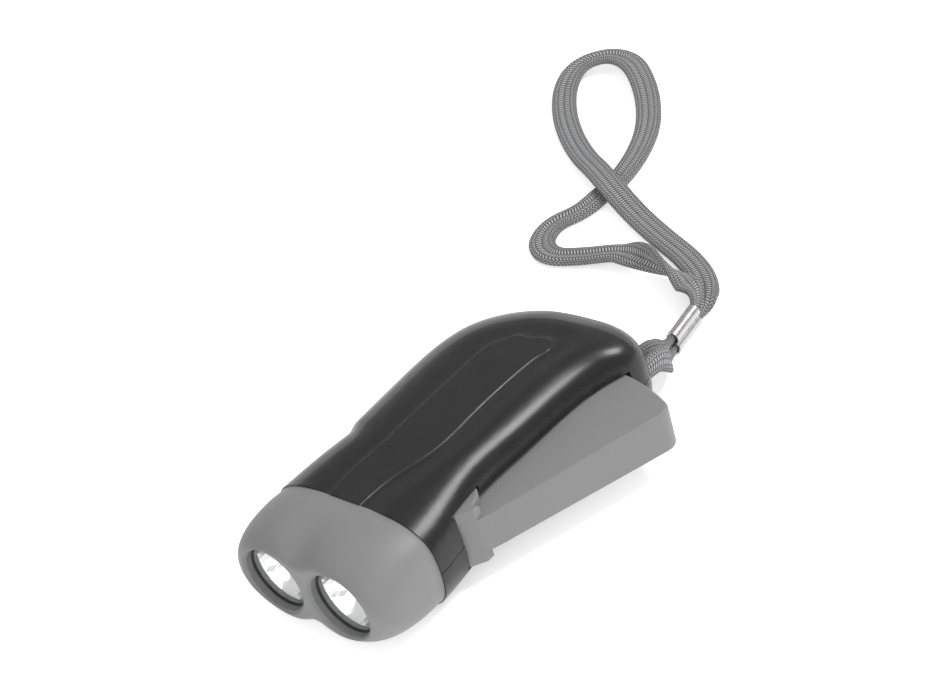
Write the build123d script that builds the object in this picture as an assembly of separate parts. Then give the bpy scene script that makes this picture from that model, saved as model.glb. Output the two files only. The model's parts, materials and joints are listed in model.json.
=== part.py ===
from build123d import *

import math
import os

# Two-lamp pocket torch with its own generator, worked by a squeeze lever.
# All sizes are millimetres. The lamps point towards -Y, the lever swings out towards +X and
# +Z is up. While the pieces are made, z = 0 is the plane where the two casing halves part;
# each piece is then lifted so that the torch rests on z = 0.

os.makedirs("parts", exist_ok=True)

# Casing
HALF_HEIGHT = 13.5  # parting plane to the crown of either half
CROWN_LEVELS = 8  # sections between the parting plane and the crown
CROWN_FLAT = 0.9992  # share of the crown's height where the form is closed flat
FOOT_CUT = 0.4  # depth of the flat foot under the lower half
CROWN_POWER = 2.9
WALL = 1.6
FIT = 0.15  # clearance between seated plastic pieces
RUN = 0.05  # radial clearance of a turning fit
SEAT = 0.02  # radial clearance of a pressed pin
MOVING_GAP = 0.5  # clearance beside moving pieces
PART_GAP = 0.2  # open line between the casing halves
SEAM_Y = -33.0  # where the casing meets the head
SEAM_RIGHT = 25.6
SEAM_LEFT = 24.4
LEVER_SIDE = 22.6  # right side, beside the lever
TAIL_CORNER = 27.8
TAIL_Y = 50.8
GRIP_LEFT = 25.3
WAIST_LEFT = 22.8
GRIP_STEP_Y = -8.5  # small outward step where the rear grip starts
SPINE_END = 25.0  # the crown line ends here and the tail rounds off behind it
SOFT_EDGE = 4.0
SQUARE_EDGE = 6.0
SEAM_EDGE = 3.6
LIP_THICKNESS = 0.8
LIP_HEIGHT = 2.4
BULKHEAD = 1.2
BULKHEAD_START = 12.0  # left end of the rib behind the lever
SLOT_START = 40.0  # direction from the pivot at which the lever's slot meets its outer arc
HUB_NOTCH = (5.2, 5.2)  # how far the hub's notch in the wall runs before and behind the pivot
FAR = 200.0  # beyond every piece, for cutting
OVERCUT = 1.0  # how far a cut runs past the faces that it opens

# Head
HEAD_LENGTH = 19.0
SEAM_STEP = 0.3  # the casing stands this much proud of the head
HEAD_SWELL = 0.5
NOSE_WIDTH_DROP = 4.0
NOSE_HEIGHT_DROP = 3.4
NOSE_WIDTH_POWER = 2.4
NOSE_HEIGHT_POWER = 2.2
LOBE_DIP = 3.0  # depth of the valley between the two lamps
LOBE_DIP_WIDTH = 9.0
COLLAR_WALL = 1.2
COLLAR_LENGTH = 2.2
COLLAR_ROOT = 2.2
SLEEVE_LENGTH = 1.5  # how far a lens pocket's sleeve runs past the reflector's rim

# Lamps
LAMP_SPACING = 21.0
OPENING_RADIUS = 8.75
OPENING_EDGE = 0.7  # bevel round the front of each opening
RECESS = 2.4
LENS_RADIUS = 9.3
LENS_THICKNESS = 1.5
RING_WIDTH = 0.9
RING_THICKNESS = 0.6
POCKET_WALL = 1.2
REFLECTOR_RIM = 1.1
REFLECTOR_DEPTH = 6.3
REFLECTOR_SKIN = 1.0
REFLECTOR_NECK_WALL = 0.8
LED_RADIUS = 2.5
LED_FLANGE = 0.4
LED_FLANGE_THICKNESS = 1.0
LED_LENGTH = 8.6

# Lamp board
BOARD_Y = -35.6
BOARD_THICKNESS = 1.6
BOARD_WIDTH = 32.0
BOARD_HEADROOM = 5.5  # from the crown's height down to the board's edge
BOARD_POST_INSET = 2.2  # from the board's edge to its screws
BOARD_POST_RADIUS = 2.0
BOARD_SCREW_RADIUS = 0.8
BOARD_SCREW_HEAD = (1.5, 0.9)  # radius and thickness
BOARD_SCREW_LENGTH = 4.0
DIODE_SIZE = (2.4, 1.6, 4.2)
DIODE_PITCH = 3.4
DIODE_ROW = (8.6, -6.8)  # middle of the row along X and its lowest height
CAPACITOR_RADIUS = 2.5
CAPACITOR_LENGTH = 11.0
CAPACITOR_X = -10.0
CAPACITOR_Z = 1.3

# Lever
PIVOT = (17.0, -18.0)
PIN_RADIUS = 1.5
HUB_RADIUS = 7.0
HUB_HALF = 7.6
HUB_FRONT = (6.1, -4.6)  # from the pivot to the front corner of the hub's flat outer side
HUB_BACK = (8.7, -1.0)  # and to its back corner, where the arm starts
LEVER_REACH = 56.5  # from the pivot to the end of the lever
LEVER_SWING = 20.0
LEVER_KNEE = (12.2, 6.2)  # from the pivot to the bend in the outer edge
LEVER_HALF_NEAR = 4.7
LEVER_HALF_FAR = 5.6
LEVER_SKIN = 1.6
LEVER_CAVITY_HALF = 3.4
LEVER_INNER_ROOT = (-4.0, 5.0)  # from the pivot to the start of the open inner edge
LEVER_CORNER = 4.0
LEVER_EDGE = 0.7
HUB_EDGE = 0.5

# Gears: centre-to-centre lines are given by their direction in plan
PRESSURE_ANGLE = 25.0
ADDENDUM = 0.8
DEDENDUM = 1.08
BACKLASH = 0.10
SECTOR_TEETH = 48
SECTOR_MODULE = 0.8
SECTOR_HALF = 1.5
SECTOR_SPARE_TEETH = 2  # teeth past the ones in mesh at the end of the swing
PINION_TEETH = 10
WHEEL_TEETH = 34
DRIVE_MODULE = 0.6
ROTOR_MODULE = 0.5
DRIVE_DIRECTION = 168.0
TRANSFER_DIRECTION = 119.0
ROTOR_DIRECTION = 55.0
AXLE_RADIUS = 0.9
SLEEVE_RADIUS = 2.2
SHOULDER = 0.9  # step of the drive pinion's sleeve under the drive wheel
PINION_MARGIN = 0.5  # the drive pinion is this much longer than the sector at either face
TRANSFER_NECK_RADIUS = 2.1
WHEEL_HOLES = (5, 6.0, 1.3)  # count, distance from the axle and radius
PAWL_PIN_SPOT = (8.0, 36.0)  # distance and direction from the drive axle
PAWL_PIN_RADIUS = 0.7
DRIVE_WHEEL_Z = (3.0, 5.0)
RATCHET_Z = (5.3, 6.7)
RATCHET_RADIUS = 4.6
RATCHET_TEETH = 12
RATCHET_STEP = 0.9  # depth of a saw tooth
RATCHET_RISE = 2.0  # lean of a saw tooth's steep face
TRANSFER_WHEEL_Z = (-5.2, -3.2)
TRANSFER_PINION_TOP = 5.4
ROTOR_PINION_Z = (-5.4, -3.0)

# Generator
SHAFT_RADIUS = 1.0
BUSH_RADIUS = 2.0
BUSH_LENGTH = 2.4
MAGNET_RADIUS = 7.0
MAGNET_Z = (-2.9, 4.0)
FLYWHEEL_RADIUS = 8.5
FLYWHEEL_Z = (5.8, 8.6)
FLYWHEEL_RIM = 2.0
FLYWHEEL_HUB = 2.6
FLYWHEEL_HOLES = (4, 4.6, 1.1)  # count, distance from the shaft and radius
FLYWHEEL_DISH = 1.0  # depth of the recess inside the rim
AIR_GAP = 0.6
CORE_Z = (-1.0, 2.0)
CORE_ARM = 3.6
CORE_BRIDGE = 3.0  # width of the bridge under the coil
CORE_BRIDGE_Y = 29.5
POLE_WIDTH = 2.0  # how far a pole face reaches in from its arm
POLE_HALF = 4.0
BOBBIN_RADIUS = 5.2
BOBBIN_FLANGE = 0.8
BOBBIN_TUBE = 0.8
BOBBIN_GAP = 1.3
WINDING_INSET = 0.4  # the wire stays this far inside the flanges' rim
WIRE_RADIUS = 0.5

# Return spring
SPRING_WIRE = 0.4
SPRING_RADIUS = 4.8
SPRING_TURNS = 3.0
SPRING_PITCH = 1.3
SPRING_START = 200.0  # direction of the spring's lower leg from the pivot
SPRING_LEG = 2.0
SPRING_ROOM = 1.0  # radial room round the coil's middle line in its pocket

# Bosses and screws
SCREW_SPOTS = [(-2.0, 20.7), (3.0, 44.0), (-14.0, -27.4), (9.5, -27.4)]
SCREW_RADIUS = 1.0
SCREW_HEAD_RADIUS = 2.1
SCREW_HEAD = 1.3
SCREW_LENGTH = 13.0
CROSS_RECESS = (1.25, 0.3, 0.6)  # length of an arm, half its width, and depth
SCREW_SEAT_Z = -8.2
BOSS_RADIUS = 3.0
AXLE_BOSS_RADIUS = 2.0
BOSS_CLEARANCE = 0.3
PIN_BOSS_WALL = 2.0
SPRING_BOSS_WALL = 1.2
BUSH_BOSS_WALL = 1.0

# How far each pin reaches past what it carries, below and above
PIVOT_PIN_ENDS = (2.4, 2.2)
DRIVE_AXLE_ENDS = (2.9, 2.4)
TRANSFER_AXLE_ENDS = (2.6, 2.6)
BAR_ENDS = (2.6, 2.6)
SHAFT_ENDS = (3.0, 2.4)
SHAFT_ROOM = 0.3  # free space round and beyond the ends of the rotor shaft

# Strap anchor and strap
BAR_SPOT = (22.3, 43.6)
BAR_RADIUS = 1.25
BAR_BOSS_RADIUS = 2.4
STRAP_WIDTH = 7.5
STRAP_THICKNESS = 1.9
TETHER_WIDTH = 6.4
TETHER_THICKNESS = 1.6
FERRULE_NEAR = (15.0, 67.7)
FERRULE_FAR = (13.1, 79.8)
FERRULE_RADIUS = 1.75
FERRULE_WALL = 0.4
FERRULE_PITCH = 3.0
CRIMP_DEPTH = 4.0  # length of braid inside either end of the ferrule
GATHER_LENGTH = 12.0  # length over which the braid narrows towards the ferrule
GATHERED_WIDTH = 2.2
GATHERED_THICKNESS = 1.3
FERRULE_EXIT = 3.0  # straight length of braid outside either end

PARTING_Z = HALF_HEIGHT - FOOT_CUT
FLOOR = -PARTING_Z
HEAD_FRONT_Y = SEAM_Y - HEAD_LENGTH
LENS_SEAT_Y = HEAD_FRONT_Y + RECESS
LENS_FRONT_Y = LENS_SEAT_Y + RING_THICKNESS
REFLECTOR_Y = LENS_FRONT_Y + LENS_THICKNESS
POCKET_RADIUS = LENS_RADIUS + FIT
BOARD_BACK_Y = BOARD_Y + BOARD_THICKNESS
COLLAR_FRONT_Y = SEAM_Y - COLLAR_LENGTH
BOARD_HEIGHT = 2 * (HALF_HEIGHT - BOARD_HEADROOM)
BOARD_POST_Z = BOARD_HEIGHT / 2 - BOARD_POST_INSET
NOTCH_HALF = HUB_HALF + MOVING_GAP
SLOT_HALF = LEVER_HALF_FAR + MOVING_GAP


def polar(centre, radius, degrees):
    """Point at a distance and direction from a centre, in plan."""
    angle = math.radians(degrees)
    return (centre[0] + radius * math.cos(angle), centre[1] + radius * math.sin(angle))


def pitch_radius(teeth, module):
    return teeth * module / 2


SECTOR_RADIUS = pitch_radius(SECTOR_TEETH, SECTOR_MODULE)
DRIVE_AXLE = polar(PIVOT, SECTOR_RADIUS + pitch_radius(PINION_TEETH, SECTOR_MODULE), DRIVE_DIRECTION)
TRANSFER_AXLE = polar(DRIVE_AXLE, pitch_radius(WHEEL_TEETH + PINION_TEETH, DRIVE_MODULE), TRANSFER_DIRECTION)
ROTOR_AXLE = polar(TRANSFER_AXLE, pitch_radius(WHEEL_TEETH + PINION_TEETH, ROTOR_MODULE), ROTOR_DIRECTION)


def post(spot, radius, low, high):
    """Upright cylinder between two heights."""
    upright = Cylinder(radius, high - low, align=(Align.CENTER, Align.CENTER, Align.MIN))
    return Pos(spot[0], spot[1], low) * upright


def bore(spot, radius, low, high):
    """Cutter for an upright hole that opens both faces of a piece."""
    return post(spot, radius, low - OVERCUT, high + OVERCUT)


def block(low, high):
    """Box between two corners."""
    size = [b - a for a, b in zip(low, high)]
    return Pos(*low) * Box(*size, align=(Align.MIN, Align.MIN, Align.MIN))


def plate(points, low, high):
    """Flat plate of a plan polygon between two heights."""
    return Pos(0, 0, low) * extrude(make_face(Polyline(*points, close=True)), amount=high - low)


def barrel(x, z, radius, near, far):
    """Cylinder along Y between two depths."""
    plane = Plane(origin=(x, near, z), x_dir=(1, 0, 0), z_dir=(0, 1, 0))
    return extrude(plane * Circle(radius), amount=far - near)


def save(name, shape):
    """Lift a finished piece onto the resting plane and write it."""
    placed = Pos(0, 0, PARTING_Z) * shape
    placed.label = name
    export_step(placed, f"parts/{name}.step")


# ---------------------------------------------------------------- casing

def casing_outline(inset):
    """Plan of the casing from the right end of the seam round the tail to the left end.

    Each point is x, y and the squareness of the upper and lower edge there."""
    corner = (SOFT_EDGE + SQUARE_EDGE) / 2
    points = [
        (SEAM_RIGHT, SEAM_Y - 3, SEAM_EDGE),
        (SEAM_RIGHT, SEAM_Y, SEAM_EDGE),
        (SEAM_RIGHT - 1.4, SEAM_Y + 10, SOFT_EDGE),
        (LEVER_SIDE - 0.4, SEAM_Y + 21, SQUARE_EDGE),
        (LEVER_SIDE, SEAM_Y + 38, SQUARE_EDGE),
        (LEVER_SIDE + 0.6, SEAM_Y + 54, SQUARE_EDGE),
        (TAIL_CORNER - 1.9, TAIL_Y - 16.8, SQUARE_EDGE),
        (TAIL_CORNER, TAIL_Y - 9.8, SQUARE_EDGE),
        (TAIL_CORNER - 2.6, TAIL_Y - 4.0, SQUARE_EDGE),
        (TAIL_CORNER - 8.3, TAIL_Y - 1.2, SQUARE_EDGE),
        (TAIL_CORNER - 18, TAIL_Y, corner),
        (-3.5, TAIL_Y - 1.4, corner),
        (-GRIP_LEFT + 11, TAIL_Y - 5.8, SOFT_EDGE),
        (-GRIP_LEFT + 3.3, TAIL_Y - 14.5, SOFT_EDGE),
        (-GRIP_LEFT, TAIL_Y - 29, SOFT_EDGE),
        (-GRIP_LEFT + 0.3, GRIP_STEP_Y + 17, SOFT_EDGE),
        (-WAIST_LEFT - 1.3, GRIP_STEP_Y + 3, SOFT_EDGE),
        (-WAIST_LEFT - 0.9, GRIP_STEP_Y + 0.6, SOFT_EDGE),
        (-WAIST_LEFT, GRIP_STEP_Y - 1.2, SOFT_EDGE),
        (-WAIST_LEFT, GRIP_STEP_Y - 6, SOFT_EDGE),
        (-(SEAM_LEFT + WAIST_LEFT) / 2 - 0.2, SEAM_Y + 8, SOFT_EDGE),
        (-SEAM_LEFT, SEAM_Y, SEAM_EDGE),
        (-SEAM_LEFT, SEAM_Y - 3, SEAM_EDGE),
    ]
    moved = []
    for i, (x, y, squareness) in enumerate(points):
        before = points[max(i - 1, 0)]
        after = points[min(i + 1, len(points) - 1)]
        along = (after[0] - before[0], after[1] - before[1])
        length = math.hypot(*along)
        moved.append((x - inset * along[1] / length, y + inset * along[0] / length, squareness))
    return moved


def run_shares(points):
    """Share of the whole length at each point of a line of points, in plan."""
    lengths = [0.0]
    for a, b in zip(points, points[1:]):
        lengths.append(lengths[-1] + math.dist(a[:2], b[:2]))
    return [length / lengths[-1] for length in lengths]


def casing_level(inset, share):
    """Closed plan wire of the casing at a share of the height of its crown, above or below."""
    outline = casing_outline(inset)
    points = []
    for x, y, squareness in outline:
        spread = (1 - abs(share) ** CROWN_POWER) ** (1 / squareness)
        spine_y = min(y, SPINE_END)
        points.append(Vector(x * spread, spine_y + (y - spine_y) * spread, share * (HALF_HEIGHT - inset)))
    side = Edge.make_spline(points, parameters=run_shares(outline))
    return Wire([side, Edge.make_line(side @ 1, side @ 0)])


def casing_form(inset):
    """Whole rounded form of the casing, moved inward by the inset; its front runs past the seam."""
    rising = [math.sin(math.pi / 2 * k / CROWN_LEVELS) for k in range(1, CROWN_LEVELS)] + [CROWN_FLAT]
    shares = [-share for share in reversed(rising)] + [0] + rising
    return Solid.make_loft([casing_level(inset, share) for share in shares])


def trim(shape, low_y):
    """Cut away whatever lies in front of a depth."""
    return shape - block((-FAR, -FAR, -FAR), (FAR, low_y, FAR))


def seam_prism(inset, near, far):
    """Straight length of the head's cross-section at the seam."""
    face = Pos(0, near - SEAM_Y, 0) * Face(head_section(0, inset))
    return extrude(face, amount=far - near, dir=(0, 1, 0))


def lever_slot():
    """Space in the casing's side for the swinging lever and its hub."""
    x, y = PIVOT
    far = LEVER_REACH + MOVING_GAP + FIT
    start = polar(PIVOT, far, SLOT_START)
    finish = polar(PIVOT, far, 90)
    middle = polar(PIVOT, far, (SLOT_START + 90) / 2)
    outline = [
        Line((x, y), (FAR, y)),
        Line((FAR, y), start),
        ThreePointArc(start, middle, finish),
        Line(finish, (x, y)),
    ]
    arm = Pos(0, 0, -SLOT_HALF) * extrude(make_face(outline), amount=2 * SLOT_HALF)
    hub = post(PIVOT, HUB_RADIUS + MOVING_GAP, -NOTCH_HALF, NOTCH_HALF)
    notch = block((x, y - HUB_NOTCH[0], -NOTCH_HALF), (FAR, y + HUB_NOTCH[1], NOTCH_HALF))
    return arm + hub + notch


def bulkhead():
    """Curved rib behind the end of the lever, with the strap anchor behind it."""
    inner = LEVER_REACH + 2 * MOVING_GAP
    ring = post(PIVOT, inner + BULKHEAD, -HALF_HEIGHT, HALF_HEIGHT)
    ring -= bore(PIVOT, inner, -HALF_HEIGHT, HALF_HEIGHT)
    return ring & block((BULKHEAD_START, PIVOT[1], -HALF_HEIGHT), (TAIL_CORNER, TAIL_Y, HALF_HEIGHT))


def strap_window():
    """Opening in the tail for the strap."""
    x, y = BAR_SPOT
    half_width = BAR_RADIUS + TETHER_THICKNESS + 3 * FIT
    half_height = TETHER_WIDTH / 2 + MOVING_GAP
    return block((x - half_width, y, -half_height), (x + half_width, FAR, half_height))


def upper_bosses():
    """Bosses that hang from the roof: place, radius and lowest height."""
    bosses = [(spot, BOSS_RADIUS, PART_GAP / 2) for spot in SCREW_SPOTS]
    bosses.append((PIVOT, PIN_RADIUS + PIN_BOSS_WALL, NOTCH_HALF))
    bosses.append((DRIVE_AXLE, AXLE_BOSS_RADIUS, RATCHET_Z[1] + 2 * BOSS_CLEARANCE))
    bosses.append((TRANSFER_AXLE, AXLE_BOSS_RADIUS, TRANSFER_PINION_TOP + BOSS_CLEARANCE))
    bosses.append((ROTOR_AXLE, BUSH_RADIUS + BUSH_BOSS_WALL, FLYWHEEL_Z[1] + BOSS_CLEARANCE))
    bosses.append((BAR_SPOT, BAR_BOSS_RADIUS, TETHER_WIDTH / 2 + BOSS_CLEARANCE))
    for spot in core_seats():
        bosses.append((spot, CORE_ARM / 2, CORE_Z[1]))
    return bosses


def lower_bosses():
    """Bosses that rise from the floor: place, radius and highest height."""
    bosses = [(spot, BOSS_RADIUS, -PART_GAP / 2) for spot in SCREW_SPOTS]
    bosses.append((PIVOT, SPRING_RADIUS + SPRING_BOSS_WALL, -NOTCH_HALF))
    bosses.append((DRIVE_AXLE, AXLE_BOSS_RADIUS, -drive_pinion_half() - BOSS_CLEARANCE))
    bosses.append((TRANSFER_AXLE, AXLE_BOSS_RADIUS, TRANSFER_WHEEL_Z[0] - BOSS_CLEARANCE))
    bosses.append((ROTOR_AXLE, BUSH_RADIUS + BUSH_BOSS_WALL, ROTOR_PINION_Z[0] - BOSS_CLEARANCE))
    bosses.append((BAR_SPOT, BAR_BOSS_RADIUS, -TETHER_WIDTH / 2 - BOSS_CLEARANCE))
    for spot in core_seats():
        bosses.append((spot, CORE_ARM / 2, CORE_Z[0]))
    return bosses


def pin_sockets():
    """Blind holes for the fixed pins and the rotor's bushes, upper and lower ends."""
    ends = pin_ends()
    holes = post(PIVOT, PIN_RADIUS + SEAT, *ends["pivot"])
    holes += post(DRIVE_AXLE, AXLE_RADIUS + SEAT, *ends["drive"])
    holes += post(TRANSFER_AXLE, AXLE_RADIUS + SEAT, *ends["transfer"])
    holes += post(BAR_SPOT, BAR_RADIUS + SEAT, *ends["bar"])
    for low, high in bush_spans():
        holes += post(ROTOR_AXLE, BUSH_RADIUS + SEAT, low, high)
    low, high = ends["rotor"]
    holes += post(ROTOR_AXLE, SHAFT_RADIUS + SHAFT_ROOM, low - SHAFT_ROOM, high + SHAFT_ROOM)
    leg = polar(PIVOT, SPRING_RADIUS, SPRING_START)
    holes += post(leg, SPRING_WIRE + FIT, -HUB_HALF - SPRING_LEG - FIT, -HUB_HALF)
    return holes


def pin_ends():
    """Lower and upper end of each pin."""
    carried = {
        "pivot": (-HUB_HALF, HUB_HALF, PIVOT_PIN_ENDS),
        "drive": (-drive_pinion_half(), RATCHET_Z[1], DRIVE_AXLE_ENDS),
        "transfer": (TRANSFER_WHEEL_Z[0], TRANSFER_PINION_TOP, TRANSFER_AXLE_ENDS),
        "bar": (-TETHER_WIDTH / 2, TETHER_WIDTH / 2, BAR_ENDS),
        "rotor": (ROTOR_PINION_Z[0], FLYWHEEL_Z[1], SHAFT_ENDS),
    }
    return {name: (low - ends[0], high + ends[1]) for name, (low, high, ends) in carried.items()}


def drive_pinion_half():
    """Half the length of the drive pinion's teeth."""
    return SECTOR_HALF + PINION_MARGIN


def bush_spans():
    """Heights of the lower and the upper rotor bush."""
    low_top = ROTOR_PINION_Z[0] - BOSS_CLEARANCE
    high_bottom = FLYWHEEL_Z[1] + BOSS_CLEARANCE
    return [(low_top - BUSH_LENGTH, low_top), (high_bottom, high_bottom + BUSH_LENGTH)]


def half_shell(columns, low, high):
    """Casing between two heights: walls, front frame and collar, bosses and rib."""
    keep = block((-FAR, -FAR, low), (FAR, FAR, high))
    outside = trim(casing_form(0), SEAM_Y) & keep
    hollow = trim(casing_form(WALL), SEAM_Y + COLLAR_ROOT) - columns - bulkhead()
    inset = WALL + FIT
    mouth = seam_prism(inset + COLLAR_WALL, COLLAR_FRONT_Y - OVERCUT, SEAM_Y + COLLAR_ROOT + OVERCUT)
    ring = (seam_prism(inset, COLLAR_FRONT_Y, SEAM_Y + COLLAR_ROOT / 2) - mouth) & keep
    shape = outside - hollow - mouth + ring
    return shape - lever_slot() - strap_window() - pin_sockets()


def upper_shell():
    """Upper casing half with the blind holes for the case screws."""
    columns = [post(spot, radius, level, HALF_HEIGHT + OVERCUT) for spot, radius, level in upper_bosses()]
    shape = half_shell(columns, PART_GAP / 2, HALF_HEIGHT)
    for spot in SCREW_SPOTS:
        shape -= post(spot, SCREW_RADIUS + SEAT, -OVERCUT, SCREW_SEAT_Z + SCREW_LENGTH + BOSS_CLEARANCE)
    return shape


def lower_shell():
    """Lower casing half with its flat foot, screw counterbores and inner lip."""
    columns = [post(spot, radius, -HALF_HEIGHT - OVERCUT, level) for spot, radius, level in lower_bosses()]
    shape = half_shell(columns, FLOOR, -PART_GAP / 2) + lip()
    for spot in SCREW_SPOTS:
        shape -= post(spot, SCREW_RADIUS + FIT, -HALF_HEIGHT, OVERCUT)
        shape -= post(spot, SCREW_HEAD_RADIUS + FIT, -HALF_HEIGHT, SCREW_SEAT_Z)
    return shape


def lip():
    """Thin upstanding edge inside the joint, which closes the line between the halves."""
    inner = Face(casing_level(WALL + FIT + LIP_THICKNESS, 0))
    edge = extrude(Face(casing_level(WALL + FIT, 0)) - inner, amount=LIP_HEIGHT)
    root = extrude(Face(casing_level(WALL / 2, 0)) - inner, amount=LIP_HEIGHT / 2)
    shape = Pos(0, 0, -LIP_HEIGHT - PART_GAP) * root + Pos(0, 0, -LIP_HEIGHT / 2 - PART_GAP) * edge
    reach = HUB_RADIUS + 4 * MOVING_GAP
    low = (PIVOT[0] - reach, PIVOT[1] - reach, -FAR)
    beside_lever = block(low, (FAR, BAR_SPOT[1] + BAR_RADIUS, FAR))
    front = block((-FAR, -FAR, -FAR), (FAR, SEAM_Y + COLLAR_ROOT + FIT, FAR))
    return shape - beside_lever - front - strap_window()


# ---------------------------------------------------------------- head and lamps

def head_section(share, inset):
    """Closed outline across the head, from 0 at the seam to 1 at the front."""
    swell = HEAD_SWELL * math.sin(math.pi * share) - SEAM_STEP - inset
    width_drop = NOSE_WIDTH_DROP * (1 - math.sqrt(1 - share**6))
    half_height = HALF_HEIGHT + swell - NOSE_HEIGHT_DROP * (1 - math.sqrt(1 - share**4))
    right = SEAM_RIGHT + (SEAM_LEFT - SEAM_RIGHT) * share + swell - width_drop
    left = SEAM_LEFT + swell - width_drop
    width_power = SEAM_EDGE + (NOSE_WIDTH_POWER - SEAM_EDGE) * share
    height_power = CROWN_POWER + (NOSE_HEIGHT_POWER - CROWN_POWER) * share
    quarter = 6
    points = []
    for k in range(4 * quarter):
        turn, step = divmod(k, quarter)
        bend = math.sin(math.pi / 2 * step / quarter)
        if turn % 2:
            bend = 1 - math.sin(math.pi / 2 * (1 - step / quarter))
        angle = math.pi / 2 * (turn + bend)
        half_width = right if math.cos(angle) > 0 else -left
        x = half_width * abs(math.cos(angle)) ** (2 / width_power)
        z = half_height * abs(math.sin(angle)) ** (2 / height_power)
        if abs(x) < LOBE_DIP_WIDTH:
            z -= LOBE_DIP * share**2 * math.cos(math.pi * x / (2 * LOBE_DIP_WIDTH)) ** 2 * z / half_height
        points.append(Vector(x, SEAM_Y - share * HEAD_LENGTH, math.copysign(z, math.sin(angle))))
    shares = [k / len(points) for k in range(len(points) + 1)]
    return Wire([Edge.make_spline(points, periodic=True, parameters=shares)])


def lamp_centres():
    return [-LAMP_SPACING / 2, LAMP_SPACING / 2]


def head_bezel():
    """Head moulding with its two lamp recesses, lens pockets and board posts."""
    stations = [0, 0.2, 0.4, 0.6, 0.76, 0.88, 0.95, 0.985, 1.0]
    form = Solid.make_loft([head_section(share, 0) for share in stations])
    cavity_share = (SEAM_Y - LENS_SEAT_Y) / HEAD_LENGTH
    cavity_stations = [cavity_share * k / 4 for k in range(5)]
    cavity = Solid.make_loft([head_section(share, WALL) for share in cavity_stations])
    shape = form - cavity
    root_y = LENS_SEAT_Y - OVERCUT
    sleeve_end = REFLECTOR_Y + REFLECTOR_RIM + SLEEVE_LENGTH
    for x in lamp_centres():
        shape += barrel(x, 0, POCKET_RADIUS + POCKET_WALL, root_y, sleeve_end) & form
    for z in (-BOARD_POST_Z, BOARD_POST_Z):
        shape += barrel(0, z, BOARD_POST_RADIUS, root_y, BOARD_Y)
    for x in lamp_centres():
        shape -= barrel(x, 0, POCKET_RADIUS, LENS_SEAT_Y, sleeve_end + OVERCUT)
        shape -= barrel(x, 0, OPENING_RADIUS, HEAD_FRONT_Y - OVERCUT, LENS_SEAT_Y + OVERCUT)
        shape -= opening_bevel(x)
    for z in (-BOARD_POST_Z, BOARD_POST_Z):
        screw_end = BOARD_Y - BOARD_SCREW_LENGTH - OVERCUT
        shape -= barrel(0, z, BOARD_SCREW_RADIUS + SEAT, screw_end, BOARD_Y + OVERCUT)
    return shape


def opening_bevel(x):
    """Cutter for the bevelled edge of a lamp's opening."""
    front = HEAD_FRONT_Y - OVERCUT
    wide = OPENING_RADIUS + OPENING_EDGE + OVERCUT
    inner_y = HEAD_FRONT_Y + OPENING_EDGE
    return turned(x, Polyline((0, front), (wide, front), (OPENING_RADIUS, inner_y), (0, inner_y), close=True))


def turned(x, edges):
    """Body of revolution about a lamp's axis, from edges drawn as radius and depth."""
    return Pos(x, 0, 0) * revolve(make_face(edges), axis=Axis.Y, revolution_arc=360)


def reflector_curve(offset):
    """Points of the parabolic cup from its neck to its rim."""
    neck = LED_RADIUS + 2 * FIT
    rim = LENS_RADIUS - REFLECTOR_RIM
    depth = REFLECTOR_DEPTH / (rim**2 - neck**2)
    radii = [neck + (rim - neck) * k / 4 for k in range(5)]
    back = REFLECTOR_Y + REFLECTOR_DEPTH
    return [(r, back - depth * (r**2 - neck**2) + offset) for r in radii]


def reflector(x):
    """Parabolic cup with a flat rim and a neck that stands on the lamp board."""
    inner = reflector_curve(0)
    outer = reflector_curve(REFLECTOR_SKIN)
    rim_back = REFLECTOR_Y + REFLECTOR_SKIN
    neck_bore = LED_RADIUS + LED_FLANGE + FIT
    neck_outside = neck_bore + REFLECTOR_NECK_WALL
    neck_shelf = inner[0][1] + REFLECTOR_SKIN / 2
    edges = Spline(*inner)
    edges += Polyline(inner[-1], (LENS_RADIUS, REFLECTOR_Y), (LENS_RADIUS, rim_back), outer[-1])
    edges += Spline(*reversed(outer))
    edges += Polyline(
        outer[0], (neck_outside, outer[0][1]), (neck_outside, BOARD_Y), (neck_bore, BOARD_Y),
        (neck_bore, neck_shelf), (inner[0][0], neck_shelf), inner[0],
    )
    return turned(x, edges)


def lens(x):
    """Clear front disc."""
    disc = barrel(x, 0, LENS_RADIUS, LENS_FRONT_Y, REFLECTOR_Y)
    return chamfer(disc.edges(), 0.15)


def lens_ring(x):
    """Thin seal between the lens and its seat."""
    ring = barrel(x, 0, LENS_RADIUS, LENS_SEAT_Y, LENS_FRONT_Y)
    return ring - barrel(x, 0, LENS_RADIUS - RING_WIDTH, LENS_SEAT_Y - OVERCUT, LENS_FRONT_Y + OVERCUT)


def led(x):
    """Domed lamp on the board."""
    straight = BOARD_Y - LED_LENGTH + LED_RADIUS
    flange_y = BOARD_Y - LED_FLANGE_THICKNESS
    flange = LED_RADIUS + LED_FLANGE
    foot = [(0, BOARD_Y), (flange, BOARD_Y), (flange, flange_y), (LED_RADIUS, flange_y)]
    edges = Polyline(*foot, (LED_RADIUS, straight))
    edges += CenterArc((0, straight), LED_RADIUS, 270, 90)
    edges += Line((0, straight - LED_RADIUS), (0, BOARD_Y))
    return turned(x, edges)


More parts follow.
